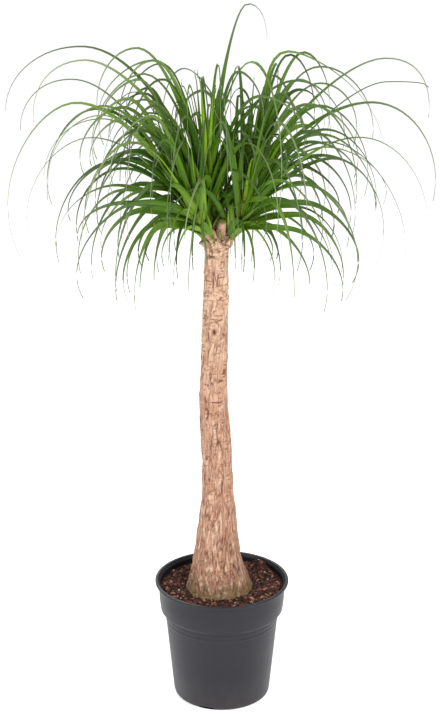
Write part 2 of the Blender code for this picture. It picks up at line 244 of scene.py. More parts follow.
def leaf_skin():
    """A waxy leaf: pale at its base, green along the blade, grey-green and dry at the tip. The map blade
    runs across and along it. The mark age is 0 on the youngest leaves, back is 1 on the underside, and shade
    differs leaf by leaf."""
    finish, tree, shader = new_finish("leaf_skin", 0.42, specular=0.16)
    blade = add(tree, "UVMap", uv_map="blade").outputs["UV"]
    parts = add(tree, "SeparateXYZ", {"Vector": blade})
    across, along = parts.outputs["X"], parts.outputs["Y"]
    age = mark(tree, "age")
    shade = mark(tree, "shade")
    grown = ramp(tree, along, (0.0, tone(112, 116, 50)), (0.06, tone(92, 134, 20)), (0.20, tone(70, 118, 14)),
                 (0.36, tone(54, 88, 32)), (0.52, tone(90, 102, 78)), (0.7, tone(122, 128, 114)),
                 (1.0, tone(160, 152, 150)))
    fresh = ramp(tree, along, (0.0, tone(176, 196, 60)), (0.3, tone(118, 172, 8)), (0.6, tone(56, 104, 14)),
                 (1.0, tone(120, 124, 100)))
    body = blend(tree, age, fresh, grown)
    strand = {"X": times(tree, across, 14), "Y": times(tree, along, 1.5), "Z": times(tree, shade, 40)}
    veins = cloud(tree, add(tree, "CombineXYZ", strand).outputs[0], 1.0, 3)
    back = mark(tree, "back")
    waxy = blend(tree, times(tree, back, 0.35), body, tone(96, 132, 48))
    hue = spread(tree, shade, 0, 1, 0.508, 0.480)
    veined = spread(tree, veins, 0.3, 0.7, 0.86, 1.14)
    bright = times(tree, spread(tree, shade, 0, 1, 0.55, 1.42), veined)
    inputs = {"Hue": hue, "Value": bright, "Color": waxy}
    paint(tree, shader, add(tree, "HueSaturation", inputs).outputs["Color"])
    return finish


def pale_floor():
    """A lit sweep of white, so that the palm stands against an even background."""
    finish, _, shader = new_finish("pale_floor", 0.8, tone(244, 244, 244), specular=0.0)
    shader.inputs["Emission Color"].default_value = (1, 1, 1, 1)
    shader.inputs["Emission Strength"].default_value = 0.54
    return finish


# Making pieces

FILLET_STEPS = 4


def finish_piece(name, work, finish, slot, *stands_for):
    """A finished mesh made a piece of the palm, in its place."""
    mesh = bpy.data.meshes.new(name)
    work.to_mesh(mesh)
    work.free()
    mesh.shade_smooth()
    mesh.materials.append(finish)
    piece = bpy.data.objects.new(name, mesh)
    bpy.context.scene.collection.objects.link(piece)
    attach(piece, "root")
    if stands_for:
        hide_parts(*stands_for)
    return piece


def joined(works):
    """Several finished meshes as one."""
    whole = bmesh.new()
    for work in works:
        mesh = bpy.data.meshes.new("leaf")
        work.to_mesh(mesh)
        work.free()
        whole.from_mesh(mesh)
        bpy.data.meshes.remove(mesh)
    return whole


def rounded(corners):
    """A profile of (radius, height, fillet) corners, with each fillet drawn as a short curve."""
    points = []
    for k, (radius, height, fillet) in enumerate(corners):
        corner = Vector((radius, 0, height))
        if not fillet:
            points.append(corner)
            continue
        before = Vector((corners[k - 1][0], 0, corners[k - 1][1]))
        after = Vector((corners[k + 1][0], 0, corners[k + 1][1]))
        start = corner + (before - corner).normalized() * fillet
        end = corner + (after - corner).normalized() * fillet
        for j in range(FILLET_STEPS + 1):
            share = j / FILLET_STEPS
            points.append(start.lerp(corner, share).lerp(corner.lerp(end, share), share))
    return points


def turned(points, steps):
    """A profile turned once about the pot's axis."""
    work = bmesh.new()
    line = [work.verts.new(point) for point in points]
    edges = [work.edges.new(pair) for pair in zip(line, line[1:])]
    bmesh.ops.spin(work, geom=line + edges, axis=(0, 0, 1), cent=(0, 0, 0), angle=tau, steps=steps,
                   use_merge=True)
    bmesh.ops.remove_doubles(work, verts=work.verts, dist=0.00001)
    bmesh.ops.recalc_face_normals(work, faces=work.faces)
    return work


def wrapped(rings, sides, place):
    """A grid rolled into a closed tube. place(turn, along) gives each point, with both from 0 to 1."""
    work = bmesh.new()
    made = bmesh.ops.create_grid(work, x_segments=sides, y_segments=rings, size=1)
    for vert in made["verts"]:
        vert.co = place((vert.co.x + 1) / 2, (vert.co.y + 1) / 2)
    bmesh.ops.remove_doubles(work, verts=work.verts, dist=0.000002)
    ends = [edge for edge in work.edges if edge.is_boundary]
    bmesh.ops.holes_fill(work, edges=ends)
    bmesh.ops.recalc_face_normals(work, faces=work.faces)
    return work


# The pot

POT_TURNS = 160
DRAIN_SLOTS = 3
DRAIN_HEADING = 251
DRAIN_PLACE = (LIP - 0.034, 0, 0.0037)
DRAIN_SIZE = (0.020, 0.028, 0.0050)


def make_pot():
    """One moulded shell: a thin beaded lip, a straight collar, a step in, faint rings and a tapered wall."""
    outside = [
        (LIP - 0.0060, RIM - 0.0012, 0.0008), (LIP - 0.0048, RIM, 0.0008),
        (LIP, RIM, 0.0014), (LIP, RIM - 0.0050, 0.0014),
        (LIP - 0.0066, RIM - 0.0056, 0.0012), (LIP - 0.0072, RIM - 0.0340, 0.0080),
        (LIP - 0.0098, RIM - 0.0560, 0.0020), (LIP - 0.0165, RIM - 0.0594, 0.0022),
        (LIP - 0.0181, RIM - 0.0640, 0.0010), (LIP - 0.0178, RIM - 0.0678, 0.0010),
        (LIP - 0.0187, RIM - 0.0700, 0.0010), (LIP - 0.0189, RIM - 0.0748, 0.0010),
        (LIP - 0.0187, RIM - 0.0770, 0.0010), (LIP - 0.0195, RIM - 0.0792, 0.0010),
        (LIP - 0.0329, 0.0090, 0.0040), (LIP - 0.0345, 0.0030, 0.0020), (LIP - 0.0390, 0.0, 0.0012),
    ]
    underside = [(0.0560, 0.0, 0.0), (0.0552, 0.0006, 0.0), (0.0508, 0.0006, 0.0), (0.0500, 0.0, 0.0),
                 (0.0042, 0.0, 0.0), (0.0036, 0.0005, 0.0), (0.0, 0.0005, 0.0)]
    inside = [
        (0.0, 0.0030, 0.0), (0.0800, 0.0030, 0.0020), (0.0845, 0.0058, 0.0020), (0.0863, 0.0105, 0.0020),
        (0.1000, 0.1480, 0.0040), (0.1006, 0.1560, 0.0020), (0.1022, 0.1632, 0.0016),
        (0.1082, 0.1658, 0.0016), (0.1092, 0.1682, 0.0010), (0.1118, 0.1910, 0.0040),
        (0.1122, RIM - 0.0050, 0.0008), (0.1140, RIM - 0.0034, 0.0006),
    ]
    work = turned(rounded(inside + outside + underside), POT_TURNS)
    pot = finish_piece("nursery_pot", work, pot_plastic(), "pot", "pot")
    cut_drain_slots(pot)
    pot.data.set_sharp_from_angle(angle=radians(50))


def cut_drain_slots(pot):
    """Slots through the corner of floor and wall."""
    work = bmesh.new()
    for k in range(DRAIN_SLOTS):
        turn = Matrix.Rotation(radians(DRAIN_HEADING) + tau * k / DRAIN_SLOTS, 4, "Z")
        place = turn @ Matrix.Translation(DRAIN_PLACE)
        made = bmesh.ops.create_cube(work, size=1, matrix=place @ Matrix.Diagonal((*DRAIN_SIZE, 1)))
        edges = list({edge for vert in made["verts"] for edge in vert.link_edges})
        bmesh.ops.bevel(work, geom=edges, offset=0.0015, segments=3, affect="EDGES", profile=0.5,
                        material=-1)
    mesh = bpy.data.meshes.new("drain_slots")
    work.to_mesh(mesh)
    work.free()
    cutter = bpy.data.objects.new("drain_slots", mesh)
    bpy.context.scene.collection.objects.link(cutter)
    boolean = pot.modifiers.new("drain", "BOOLEAN")
    boolean.operation = "DIFFERENCE"
    boolean.object = cutter
    depsgraph = bpy.context.evaluated_depsgraph_get()
    cut = bpy.data.meshes.new_from_object(pot.evaluated_get(depsgraph))
    pot.modifiers.clear()
    pot.data = cut
    bpy.data.objects.remove(cutter)


# The trunk: (height, how far the middle lies along X, radius)

TRUNK = (
    (0.128, -0.005, 0.0450), (0.142, -0.005, 0.0590), (0.160, -0.005, 0.0665), (0.182, -0.005, 0.0665),
    (0.200, -0.005, 0.0625), (0.215, -0.005, 0.0565), (0.232, -0.006, 0.0515), (0.255, -0.008, 0.0450),
    (0.285, -0.009, 0.0395), (0.320, -0.008, 0.0358), (0.353, -0.007, 0.0325), (0.395, -0.007, 0.0280),
    (0.440, -0.008, 0.0268), (0.490, -0.010, 0.0265), (0.530, -0.013, 0.0262), (0.560, -0.0146, 0.0252),
    (0.595, -0.0145, 0.0238), (0.630, -0.0137, 0.0230), (0.690, -0.012, 0.0228), (0.730, -0.011, 0.0220),
    (0.770, -0.010, 0.0214), (0.810, -0.010, 0.0210), (0.843, -0.009, 0.0208), (0.851, -0.008, 0.0240),
    (0.860, -0.007, 0.0272), (0.868, -0.006, 0.0266), (0.874, -0.005, 0.0215), (0.878, -0.005, 0.0120),
)
TRUNK_RINGS = 420
TRUNK_SIDES = 150
HEAD_FOOT = 0.846  # where the trunk's knobbly head starts
# Old wounds in the bark: (heading, height, radius of the wound, how far its lip stands out)
KNOTS = ((245, 0.603, 0.0030, 0.0008), (266, 0.700, 0.0088, 0.0016),
         (60, 0.480, 0.0060, 0.0012), (120, 0.680, 0.0050, 0.0010))


def through(rows, height):
    """The rows' values at a height, on a smooth curve through them."""
    last = len(rows) - 1
    k = max(0, min(last - 1, sum(1 for row in rows if row[0] <= height) - 1))
    low, high = rows[k], rows[k + 1]
    before, after = rows[max(0, k - 1)], rows[min(last, k + 2)]
    span = high[0] - low[0]
    t = clamped((height - low[0]) / span)
    values = []
    for a, b, c, d in zip(before[1:], low[1:], high[1:], after[1:]):
        rise_in = (c - a) / max(1e-6, high[0] - before[0]) * span
        rise_out = (d - b) / max(1e-6, after[0] - low[0]) * span
        values.append((2 * t ** 3 - 3 * t ** 2 + 1) * b + (t ** 3 - 2 * t ** 2 + t) * rise_in
                      + (3 * t ** 2 - 2 * t ** 3) * c + (t ** 3 - t ** 2) * rise_out)
    return values


def thin_line(value, half_width):
    """1 where value is 0, falling to 0 at half_width either side."""
    return max(0.0, 1 - abs(value) / half_width)


def bark_relief(heading, height, radius):
    """How far the bark stands out at a place on the trunk, with how cracked and how pale it is there."""
    x, y = cos(heading) * radius, sin(heading) * radius
    low = clamped((0.52 - height) / 0.25)
    lumps = grain(x * 38, y * 38, height * 30)
    folds = grain(cos(heading) * 2.6, sin(heading) * 2.6, height * 5 + 7)
    bumps = grain(x * 90, y * 90, height * 75)
    waver = 0.0016 * grain(x * 70, y * 70, height * 55)
    # Long cracks run up the trunk; short level ones join them into blocks, most of all near the crown.
    long_crack = noise.noise(Vector((x * 150, y * 150, height * 14)) + Vector((waver, waver, 0)) * 400)
    short_crack = grain(x * 30 + 3, y * 30, (height + waver) * 170)
    fine_long = grain(x * 320 + 9, y * 320, height * 40)
    fine_short = grain(x * 80, y * 80 + 5, (height + waver) * 340)
    here = grain(x * 75 + 4, y * 75, height * 60)
    there = grain(x * 60, y * 60 + 6, height * 45)
    crack = thin_line(long_crack, 0.13) * clamped(0.75 + 1.5 * there + 0.3 * low)
    level = thin_line(short_crack, 0.15) * clamped(0.60 + 2.2 * here) * (1 - 0.8 * low)
    fine = thin_line(fine_long, 0.20) * clamped(0.45 - 1.6 * here + 0.3 * low)
    fine = max(fine, thin_line(fine_short, 0.16) * clamped(0.4 - 1.6 * there) * (1 - 0.6 * low))
    crack = min(1.0, max(crack, level, 0.8 * fine))
    flake = grain(x * 290 + 2, y * 290, height * 32 + 5)
    streak = max(0.0, flake - 0.12) * 2.4 * (0.35 + 0.65 * low)
    out = 0.0011 * lumps + 0.0036 * folds * low ** 1.5 - 0.0010 * crack + 0.0008 * min(1, streak)
    out += 0.0009 * bumps + 0.0006
    for turn, level_of, size, lip in KNOTS:
        around = (heading - radians(turn) + pi) % tau - pi
        away = hypot(around * radius, (height - level_of) * 0.7) / size
        if away < 1.8:
            pit = max(0.0, 1 - away / 0.75)
            out += lip * thin_line(away - 1, 0.45) - 1.6 * lip * pit
            crack = min(1.0, max(crack * min(1, away), pit * 1.4, 0.6 * thin_line(away - 1.45, 0.2)))
    return out, crack, min(1.0, streak)


def make_trunk(finish):
    bottom, top = TRUNK[0][0], TRUNK[-1][0]
    places = {}

    def place(turn, along):
        heading = (turn % 1.0) * tau
        height = bottom + (top - bottom) * along
        middle, radius = through(TRUNK, height)
        out, crack, streak = bark_relief(heading, height, radius)
        if height > HEAD_FOOT:
            out += 0.0035 * grain(cos(heading) * 2.2, sin(heading) * 2.2, height * 90)
        radius += out
        point = Vector((middle + cos(heading) * radius, sin(heading) * radius, height))
        places[key_of(point)] = (crack, streak)
        return point

    work = wrapped(TRUNK_RINGS, TRUNK_SIDES, place)
    cracks = work.verts.layers.float.new("crack")
    streaks = work.verts.layers.float.new("streak")
    for vert in work.verts:
        vert[cracks], vert[streaks] = places.get(key_of(vert.co), (0, 0))
    finish_piece("trunk_bark", work, finish, "bark", "trunk")


# The soil

SOIL_ROWS = ((0.0, 0.2098), (0.0700, 0.2098), (0.0840, 0.2102), (0.1020, 0.2108), (0.1120, 0.2112))
SOIL_WALL = ((0.1114, 0.1912), (0.1088, 0.1685), (0.1078, 0.1661), (0.1018, 0.1634), (0.1002, 0.1562),
             (0.0997, 0.1482), (0.0860, 0.0108), (0.0842, 0.0061), (0.0796, 0.0033), (0.0, 0.0033))
SOIL_RINGS = 70
SOIL_LEVEL = 0.205  # about, where the trunk comes out of it
CLUMP = Vector((0.072, 0.080, 0))  # where the mix is heaped against the rim
CHIPS_FROM = 0.060  # how far from the pot's middle the chips lie
CHIPS_TO = 0.1085
CHIPS_EDGE = 0.1105  # past this they would touch the wall
TRUNK_CLEAR = 0.0600  # and nearer than this, the trunk


def soil_height(x, y):
    away = hypot(x, y)
    level = SOIL_ROWS[-1][1]
    for (near, high), (far, low) in zip(SOIL_ROWS, SOIL_ROWS[1:]):
        if near <= away <= far:
            level = high + (low - high) * (away - near) / (far - near)
            break
    rough = 0.0022 * grain(x * 70, y * 70, 1) + 0.0007 * grain(x * 300, y * 300, 2)
    heap = 0.0125 * exp(-((Vector((x, y, 0)) - CLUMP).length / 0.015) ** 2)
    return level - 0.001 + rough + heap


def make_soil():
    """A body that fills the pot, turned with a level top that is then made uneven."""
    level = 0.2
    top = [Vector((SOIL_EDGE * k / SOIL_RINGS, 0, level)) for k in range(SOIL_RINGS + 1)]
    wall = [Vector((radius, 0, height)) for radius, height in SOIL_WALL]
    work = turned(top + wall, 180)
    for vert in work.verts:
        if vert.co.z > level - 0.0001:
            vert.co.z = soil_height(vert.co.x, vert.co.y)
    finish_piece("potting_mix", work, potting_mix(), "soil", "soil")


def scatter(name, count, finish, smallest, largest, flatness, seed):
    """Chips that lie on the soil, each tipped and worn in its own way."""
    chance = Random(seed)
    work = bmesh.new()
    shades = work.verts.layers.float.new("shade")
    middle, _ = through(TRUNK, SOIL_LEVEL)
    placed = 0
    while placed < count:
        away = (CHIPS_FROM ** 2 + (CHIPS_TO ** 2 - CHIPS_FROM ** 2) * chance.random()) ** 0.5
        turn = chance.uniform(0, tau)
        x, y = away * cos(turn), away * sin(turn)
        size = chance.uniform(smallest, largest)
        spin = Matrix.Rotation(chance.uniform(0, tau), 4, "Z")
        tip = Matrix.Rotation(chance.gauss(0, 0.35), 4, "X")
        tip = tip @ Matrix.Rotation(chance.gauss(0, 0.35), 4, "Y")
        shape = Matrix.Diagonal((size, size * chance.uniform(0.45, 0.9), size * flatness, 1))
        shade = chance.random()
        if hypot(x - middle, y) < TRUNK_CLEAR + size or away + size > CHIPS_EDGE:
            continue
        lift = Matrix.Translation((x, y, soil_height(x, y) + size * flatness * 0.45))
        made = bmesh.ops.create_icosphere(work, subdivisions=1, radius=1, matrix=lift @ spin @ tip @ shape)
        for vert in made["verts"]:
            worn = Vector([chance.uniform(-1, 1) for _ in range(3)])
            vert.co += worn * size * 0.2
            vert[shades] = shade
        placed += 1
    piece = finish_piece(name, work, finish, "soil")
    piece.data.set_sharp_from_angle(angle=radians(30))


def make_chips():
    red = chip_bark("bark_chips", (0.0, tone(34, 21, 19)), (0.45, tone(86, 46, 38)), (0.8, tone(126, 76, 62)),
                    (1.0, tone(178, 128, 106)))
    dark = chip_bark("dark_crumbs", (0.0, tone(24, 17, 15)), (0.6, tone(58, 38, 30)), (1.0, tone(92, 64, 48)))
    pale = chip_bark("pale_grit", (0.0, tone(176, 140, 112)), (1.0, tone(228, 208, 188)))
    for k in range(2):
        scatter("bark_chips_%d" % k, 440, red, 0.0016, 0.0054, 0.42, 20 + k)
        scatter("dark_crumbs_%d" % k, 700, dark, 0.0010, 0.0034, 0.7, 30 + k)
    scatter("pale_grit", 46, pale, 0.0012, 0.0026, 0.7, 40)


# The shoots: the foot on the trunk's head, which way and how far each leans from upright, its height, its
# radius at the foot, the share of it that is bare, how many leaves it carries and where their spiral starts

Shoot = namedtuple("Shoot", "foot heading lean height radius bare leaves turn")
SHOOTS = {
    "centre": Shoot((-0.013, -0.002, 0.872), 190, 8, 0.105, 0.0125, 0.20, 36, 0),
    "left": Shoot((-0.021, -0.010, 0.866), 190, 33, 0.102, 0.0115, 0.10, 33, 40),
    "right": Shoot((0.008, -0.010, 0.866), 345, 40, 0.074, 0.0110, 0.14, 30, 90),
    "front": Shoot((-0.012, -0.018, 0.864), 222, 42, 0.080, 0.0100, 0.30, 22, 150),
    "back": Shoot((0.005, 0.015, 0.868), 32, 30, 0.130, 0.0125, 0.12, 35, 210),
}
# The short stump of a shoot that was cut off at the front of the head
STUMP = Shoot((-0.003, -0.014, 0.866), 282, 28, 0.042, 0.0105, 1, 0, 0)
SHOOT_TAPER = 0.5  # share of its radius that a shoot loses by its top
SHOOT_ROOT = 0.020  # how deep its foot reaches into the trunk's head
SCAR_SPACING = 0.0032
GOLDEN_ANGLE = 137.508  # between each leaf of a shoot and the next one up


def direction(heading, rise):
    across = cos(radians(rise))
    return Vector((across * cos(radians(heading)), across * sin(radians(heading)), sin(radians(rise))))


def axis_of(shoot):
    return direction(shoot.heading, 90 - shoot.lean)


def stem_radius(shoot, share):
    return shoot.radius * (1 - SHOOT_TAPER * share)


def make_stem(name, shoot, finish):
    """A shoot's bare stem, ringed with the scars of the leaves that it has shed."""
    foot, axis = Vector(shoot.foot), axis_of(shoot)
    side = axis.orthogonal().normalized()
    across = axis.cross(side)
    start = -SHOOT_ROOT / shoot.height
    end = 0.99 if shoot.leaves else 1.0
    scars = {}

    def place(turn, along):
        share = start + (end - start) * along
        heading = (turn % 1.0) * tau
        rings = sin(share * shoot.height / SCAR_SPACING * tau + 1.5 * sin(heading) + 2 * cos(2 * heading))
        rough = grain(cos(heading) * 3, sin(heading) * 3, share * 14)
        radius = stem_radius(shoot, max(0, share)) + 0.0004 * rings + 0.0007 * rough
        point = foot + axis * shoot.height * share
        point += (side * cos(heading) + across * sin(heading)) * radius
        scars[key_of(point)] = max(0.0, -rings) * 0.8
        return point

    work = wrapped(70, 40, place)
    cracks = work.verts.layers.float.new("crack")
    freshness = work.verts.layers.float.new("fresh")
    for vert in work.verts:
        vert[cracks] = scars.get(key_of(vert.co), 0)
        climbed = (vert.co - foot).dot(axis) / shoot.height
        vert[freshness] = clamped((climbed - 0.8 * shoot.bare) / 0.12)
    finish_piece("stem_" + name, work, finish, "bark")


def stub(turn, height, length, width, lift, curl, shade, freshness):
    """A short flap of leaf on the trunk's head, dark by shade and green by freshness, from 0 to 1."""
    heading = radians(turn)
    middle, radius = through(TRUNK, height)
    out = Vector((cos(heading), sin(heading), 0))
    side = Vector((-sin(heading), cos(heading), 0))
    work = bmesh.new()
    made = bmesh.ops.create_grid(work, x_segments=5, y_segments=5, size=1)
    for vert in made["verts"]:
        across, s = vert.co.x, (vert.co.y + 1) / 2
        ragged = length * s * (1 + 0.35 * grain(across * 2.2, turn, s))
        point = Vector((middle, 0, height)) + out * (radius - 0.0015 + ragged * cos(curl * s + lift))
        point += Vector((0, 0, 1)) * ragged * sin(curl * s + lift)
        vert.co = point + side * across * width / 2 * (1 - 0.45 * s) - out * 0.0022 * across ** 2
    bmesh.ops.solidify(work, geom=work.faces[:], thickness=0.0010)
    crack = work.verts.layers.float.new("crack")
    fresh = work.verts.layers.float.new("fresh")
    for vert in work.verts:
        vert[crack], vert[fresh] = shade, freshness
    return work


def make_stubs(finish):
    """Round the trunk's head stand the dry stubs of shed leaves, with some green sprouts at the front."""
    chance = Random(5)
    parts = []
    for k in range(34):
        length, width = chance.uniform(0.005, 0.011), chance.uniform(0.006, 0.012)
        lift, curl = chance.uniform(-0.2, 1.2), chance.uniform(-1.2, 0.6)
        height = HEAD_FOOT + 0.030 * chance.random()
        shade = chance.uniform(0.1, 1.0)
        parts.append(stub(k * GOLDEN_ANGLE, height, length, width, lift, curl, shade, 0))
    for k in range(16):
        length, width = chance.uniform(0.014, 0.030), chance.uniform(0.005, 0.009)
        turn, height = chance.uniform(232, 308), chance.uniform(0.848, 0.864)
        lift, freshness = chance.uniform(0.9, 1.5), chance.uniform(0.7, 1)
        parts.append(stub(turn, height, length, width, lift, -0.3, 0.1, freshness))
    finish_piece("shed_leaf_stubs", joined(parts), finish, "bark")


# The leaves. A leaf springs from its shoot, at a share of the shoot's height, tops out at its crest and
# hangs to its tip. A curl over 0 brings the tip back in towards the trunk. The name is the solid's own.

Leaf = namedtuple("Leaf", "name shoot share crest tip curl width")
LONG_LEAVES = (
    ("centre", 0.97, (0.042, 0.020, 1.255), (0.075, 0.035, 1.195), 0.00, 0.0170),
    ("centre", 0.86, (-0.232, 0.040, 1.182), (-0.368, 0.060, 1.070), 0.00, 0.0130),
    ("centre", 0.90, (-0.140, -0.030, 1.190), (-0.205, -0.050, 1.100), 0.00, 0.0160),
    ("left", 0.84, (-0.250, 0.080, 1.120), (-0.350, 0.110, 1.027), 0.00, 0.0120),
    ("left", 0.70, (-0.240, -0.060, 1.105), (-0.335, -0.085, 0.850), 0.45, 0.0130),
    ("centre", 0.92, (-0.112, 0.060, 1.155), (-0.215, 0.120, 1.040), 0.10, 0.0150),
    ("centre", 0.80, (-0.225, -0.060, 1.175), (-0.305, -0.090, 1.078), 0.10, 0.0130),
    ("left", 0.60, (-0.218, 0.030, 1.030), (-0.330, 0.050, 0.832), 0.35, 0.0130),
    ("left", 0.76, (-0.200, -0.090, 1.090), (-0.280, -0.130, 0.980), 0.10, 0.0120),
    ("left", 0.48, (-0.185, -0.100, 1.015), (-0.265, -0.150, 0.860), 0.30, 0.0120),
    ("left", 0.36, (-0.175, 0.040, 0.945), (-0.287, 0.070, 0.815), 0.25, 0.0120),
    ("left", 0.30, (-0.165, -0.070, 0.962), (-0.235, -0.100, 0.828), 0.20, 0.0125),
    ("left", 0.22, (-0.108, -0.070, 0.975), (-0.175, -0.115, 0.802), 0.10, 0.0150),
    ("left", 0.16, (-0.095, -0.050, 0.945), (-0.176, -0.090, 0.778), 0.15, 0.0140),
    ("front", 0.50, (-0.097, -0.075, 0.920), (-0.132, -0.100, 0.838), 0.60, 0.0130),
    ("front", 0.30, (-0.055, -0.060, 0.895), (-0.080, -0.090, 0.785), 0.20, 0.0120),
    ("centre", 0.55, (-0.027, -0.085, 0.985), (-0.056, -0.140, 0.785), 0.00, 0.0150),
    ("centre", 0.85, (0.000, -0.100, 1.050), (0.027, -0.200, 0.855), 0.10, 0.0150),
    ("centre", 0.94, (0.051, -0.050, 1.170), (0.092, -0.170, 0.960), 0.30, 0.0150),
    ("back", 0.90, (0.110, 0.050, 1.172), (0.280, 0.120, 0.985), 0.10, 0.0140),
    ("centre", 0.88, (0.123, -0.040, 1.138), (0.198, -0.070, 1.030), 0.25, 0.0165),
    ("back", 0.84, (0.165, 0.120, 1.135), (0.270, 0.200, 0.995), 0.15, 0.0130),
    ("back", 0.78, (0.275, 0.080, 1.156), (0.358, 0.110, 1.050), 0.10, 0.0120),
    ("right", 0.84, (0.275, 0.010, 1.128), (0.345, 0.015, 1.118), 0.00, 0.0120),
    ("back", 0.70, (0.250, 0.030, 1.090), (0.364, 0.050, 0.915), 0.20, 0.0120),
    ("right", 0.70, (0.230, -0.070, 1.050), (0.335, -0.100, 0.880), 0.20, 0.0130),
    ("right", 0.62, (0.180, -0.110, 1.050), (0.290, -0.170, 0.842), 0.30, 0.0130),
    ("right", 0.54, (0.187, 0.050, 0.990), (0.272, 0.070, 0.795), 0.40, 0.0130),
    ("right", 0.42, (0.138, -0.050, 0.970), (0.208, -0.080, 0.775), 0.60, 0.0140),
    ("right", 0.46, (0.100, -0.060, 0.975), (0.185, -0.110, 0.795), 0.15, 0.0150),
    ("right", 0.32, (0.104, -0.030, 0.930), (0.187, -0.050, 0.797), 0.10, 0.0160),
    ("right", 0.20, (0.074, -0.040, 0.895), (0.147, -0.080, 0.804), 0.00, 0.0130),
    ("right", 0.12, (0.038, -0.040, 0.888), (0.052, -0.060, 0.800), 0.30, 0.0120),
    ("centre", 0.78, (-0.060, -0.160, 1.100), (-0.080, -0.260, 0.940), 0.20, 0.0140),
    ("back", 0.60, (0.060, 0.220, 1.050), (0.090, 0.330, 0.860), 0.20, 0.0130),
    ("back", 0.74, (-0.060, 0.190, 1.120), (-0.110, 0.300, 0.960), 0.20, 0.0130),
)
CROWN_RADIUS = 0.365
CROWN_FLOOR = 0.765  # no leaf hangs lower
CROWN_TOP = 1.175  # only long leaves stand higher
LEAF_THICKNESS = 0.0009
LEAF_TIP_WIDTH = 0.0017
LEAF_STEPS = 14  # of the solids, by which the plan is tested
BLADE_STEPS = 36  # of the finished leaves
MIDRIB_STEPS = 40  # of each half of the curve that both are spaced along
BLADE_THICKNESS = 0.0007
SHORT_LEAF = 0.22  # a leaf no longer than this keeps its width and its green the most
LONG_LEAF = 0.42  # and one this long not at all


def seat(leaf):
    """A leaf starts on its shoot's surface, on the side that its crest is on."""
    shoot = SHOOTS[leaf.shoot]
    axis = axis_of(shoot)
    middle = Vector(shoot.foot) + axis * shoot.height * leaf.share
    outward = (Vector(leaf.crest) - middle) * Vector((1, 1, 0.2))
    outward = (outward - axis * outward.dot(axis)).normalized()
    return middle + outward * (stem_radius(shoot, leaf.share) + GAP + LEAF_THICKNESS / 2)


def bezier(a, b, c, d, t):
    return a * (1 - t) ** 3 + b * 3 * t * (1 - t) ** 2 + c * 3 * t ** 2 * (1 - t) + d * t ** 3


def midrib(leaf, steps):
    """Evenly spaced points along the leaf: a rise to the crest, then a fall to the tip."""
    start, crest, tip = seat(leaf), Vector(leaf.crest), Vector(leaf.tip)
    climb, fall = crest - start, tip - crest
    level, onward = Vector((climb.x, climb.y, 0)), Vector((fall.x, fall.y, 0))
    glide = (level.normalized() + onward.normalized()).normalized()
    glide = glide * 0.48 * (level.length * onward.length) ** 0.5
    sprung = start + level * 0.22 + Vector((0, 0, climb.z)) * 0.50
    curled = tip + Vector((0, 0, -fall.z)) * 0.5 + onward.normalized() * leaf.curl * -fall.z * 0.5
    shares = [k / MIDRIB_STEPS for k in range(MIDRIB_STEPS + 1)]
    points = [bezier(start, sprung, crest - glide, crest, share) for share in shares[:-1]]
    points += [bezier(crest, crest + glide, curled, tip, share) for share in shares]
    lengths = [0.0]
    for first, second in zip(points, points[1:]):
        lengths.append(lengths[-1] + (second - first).length)
    even = []
    k = 0
    for j in range(steps + 1):
        wanted = lengths[-1] * j / steps
        while k < len(points) - 2 and lengths[k + 1] < wanted:
            k += 1
        share = (wanted - lengths[k]) / (lengths[k + 1] - lengths[k])
        even.append(points[k] + (points[k + 1] - points[k]) * share)
    return even


def fits_crown(leaf):
    """The crown's underside is lowest round the trunk."""
    for point in midrib(leaf, LEAF_STEPS):
        away = point.xy.length
        if away > CROWN_RADIUS or point.z < CROWN_FLOOR + 0.4 * max(0, away - 0.2):
            return False
    return True


def leaf_plan():
    """Every leaf of the crown: the long ones that give its outline, then each shoot's own spiral. It is the
    plan that the solids follow, with the same draws in the same order."""
    leaves = [Leaf("leaf_long_%02d" % k, *values) for k, values in enumerate(LONG_LEAVES)]
    chance = Random(11)
    up = Vector((0, 0, 1))
    for name, shoot in SHOOTS.items():
        axis = axis_of(shoot)
        outer = direction(shoot.heading, -shoot.lean)
        across = axis.cross(outer)
        for k in range(shoot.leaves):
            young = k / (shoot.leaves - 1)
            share = shoot.bare + (0.96 - shoot.bare) * young
            turn = radians(shoot.turn + k * GOLDEN_ANGLE)
            climb = radians(4 + 78 * young ** 0.85 + chance.uniform(-6, 6))
            aim = cos(climb) * (cos(turn) * outer + sin(turn) * across) + sin(climb) * axis
            heading = degrees(atan2(aim.y, aim.x)) % 360
            lift, sag, level = max(0.0, aim.z), max(0.0, -aim.z), hypot(aim.x, aim.y)
            size = chance.uniform(0.20, 0.33) + 0.06 * young + 0.06 * (chance.random() < 0.3)
            out = direction(heading, 0)
            falls = direction(heading + chance.uniform(-30, 30), 0)
            hang = chance.uniform(0.22, 0.46) + 0.40 * sag + 0.25 * max(0, 1 - 3 * young)
            curl = chance.uniform(-0.1, 0.6)
            width = chance.uniform(0.0130, 0.0165)
            foot = Vector(shoot.foot) + axis * shoot.height * share
            crest = out * (0.15 + 0.25 * level - 0.22 * sag) + up * (0.05 + 0.52 * lift)
            tip = crest + falls * (0.09 + 0.20 * level) - up * hang
            leaf = Leaf("leaf_%s_%02d" % (name, k), name, share, foot + crest * size, foot + tip * size,
                        curl, width)
            while not fits_crown(leaf):
                size *= 0.94
                leaf = leaf._replace(crest=foot + crest * size, tip=foot + tip * size)
            bare_front = young < 0.4 and abs(heading - 270) < 40
            if not bare_front:
                leaves.append(leaf)
    return leaves


def blade_width(leaf, s):
    """A clasping base, a blade that is widest a tenth of the way up and a long thin tip."""
    taper = 0.5 + 0.5 * cos(pi * s ** 0.64)
    return LEAF_TIP_WIDTH + (leaf.width - LEAF_TIP_WIDTH) * min(1, 0.75 + 2.5 * s) * taper


